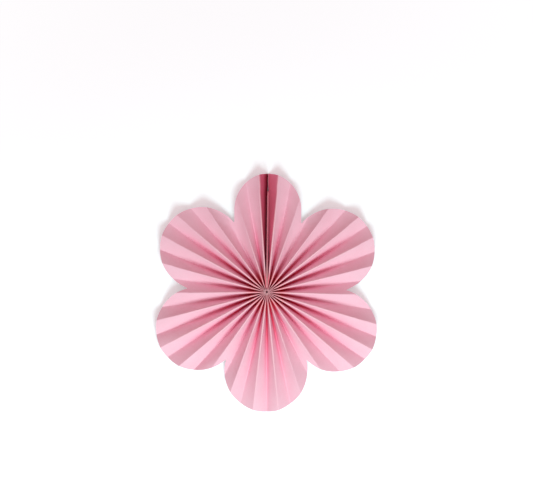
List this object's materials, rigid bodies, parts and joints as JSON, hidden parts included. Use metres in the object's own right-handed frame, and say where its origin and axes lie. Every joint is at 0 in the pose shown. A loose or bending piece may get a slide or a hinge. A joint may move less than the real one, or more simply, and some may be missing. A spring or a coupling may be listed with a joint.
{
  "type": "paper fan rosette",
  "caption": "Petal-edged pleated paper fan opened full circle, with card-backed ends joined along one radius and a thread-bound hub; a hanging or wall decoration.",
  "frame": {"origin": "on the hub's axis, level with the back folds at the hub", "axes": "+Z along the hub's axis out of the front of the fan; +Y from the hub along the joined ends; +X to the right of them, seen from the front"},
  "size_m": [0.276, 0.298, 0.0191],
  "materials": {
    "pink_paper": "matte, uncoated, with fine fibres",
    "greyboard": "matte pinkish grey-brown board with a cut edge",
    "tape": "satin double-sided tape",
    "thread": "matte twisted cotton"
  },
  "bodies": {
    "root": {"pleated_sheet": "pink_paper", "left_stay": "greyboard", "right_stay": "greyboard", "seam_tape": "tape", "binding_thread": "thread"}
  },
  "joints": []
}
